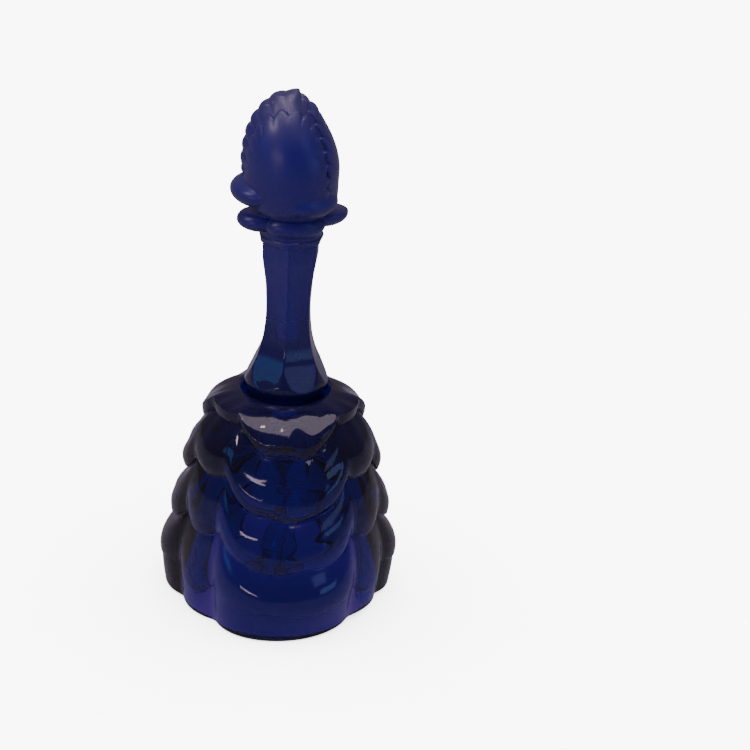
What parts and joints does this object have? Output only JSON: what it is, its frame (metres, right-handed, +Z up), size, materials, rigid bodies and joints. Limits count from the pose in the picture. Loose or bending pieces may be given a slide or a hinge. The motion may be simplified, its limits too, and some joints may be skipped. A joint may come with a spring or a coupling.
{
  "type": "glass hand bell",
  "caption": "Pressed cobalt glass table bell with tiers of overlapping flounces, a six-sided waisted handle, a leafy bud finial and a glass bead clapper on a wire chain.",
  "frame": {"origin": "centre of the footprint's box, in the plane of the rim the bell stands on; the bell's own turning axis is parallel to +Z and 2.9 mm behind it, at y = +2.9 mm, because the three wide columns reach further out than the three narrow ones", "axes": "+Z up to the tip of the finial, -Y out through the middle of one wide column of flounces"},
  "size_m": [0.0812, 0.0782, 0.1798],
  "materials": {
    "cobalt_glass": "fire-polished transparent cobalt blue pressed glass",
    "bead_glass": "polished cobalt blue glass bead",
    "crown_plaster": "matt white plaster cement",
    "plated_wire": "nickel-plated steel wire, slightly dulled"
  },
  "bodies": {
    "root": {"glass_bell": "cobalt_glass", "crown_plug": "crown_plaster", "hanger_eye": "plated_wire"},
    "link_1": {"chain_link_1": "plated_wire"},
    "link_2": {"chain_link_2": "plated_wire"},
    "link_3": {"chain_link_3": "plated_wire"},
    "link_4": {"chain_link_4": "plated_wire"},
    "link_5": {"chain_link_5": "plated_wire"},
    "link_6": {"chain_link_6": "plated_wire"},
    "clapper": {"clapper_pin": "plated_wire"},
    "bead": {"clapper_bead": "bead_glass"}
  },
  "joints": [
    {"name": "link_1_swing", "type": "hinge", "parent": "root", "child": "link_1", "pos_m": [0, 0.0029, 0.0543], "axis": [1, 0, 0], "range_deg": [-30, 30]},
    {"name": "link_2_swing", "type": "hinge", "parent": "link_1", "child": "link_2", "pos_m": [0, 0.0029, 0.0493], "axis": [0, 1, 0], "range_deg": [-30, 30]},
    {"name": "link_3_swing", "type": "hinge", "parent": "link_2", "child": "link_3", "pos_m": [0, 0.0029, 0.0443], "axis": [-1, 0, 0], "range_deg": [-38, 38]},
    {"name": "link_4_swing", "type": "hinge", "parent": "link_3", "child": "link_4", "pos_m": [0, 0.0029, 0.0393], "axis": [0, -1, 0], "range_deg": [-38, 38]},
    {"name": "link_5_swing", "type": "hinge", "parent": "link_4", "child": "link_5", "pos_m": [0, 0.0029, 0.0343], "axis": [1, 0, 0], "range_deg": [-42, 42]},
    {"name": "link_6_swing", "type": "hinge", "parent": "link_5", "child": "link_6", "pos_m": [0, 0.0029, 0.0293], "axis": [0, 1, 0], "range_deg": [-42, 42]},
    {"name": "clapper_swing", "type": "hinge", "parent": "link_6", "child": "clapper", "pos_m": [0, 0.0029, 0.0243], "axis": [-1, 0, 0], "range_deg": [-40, 40]},
    {"name": "bead_spin", "type": "hinge", "parent": "clapper", "child": "bead", "pos_m": [0, 0.0029, 0.0135], "axis": [0, 0, 1], "continuous": true}
  ]
}
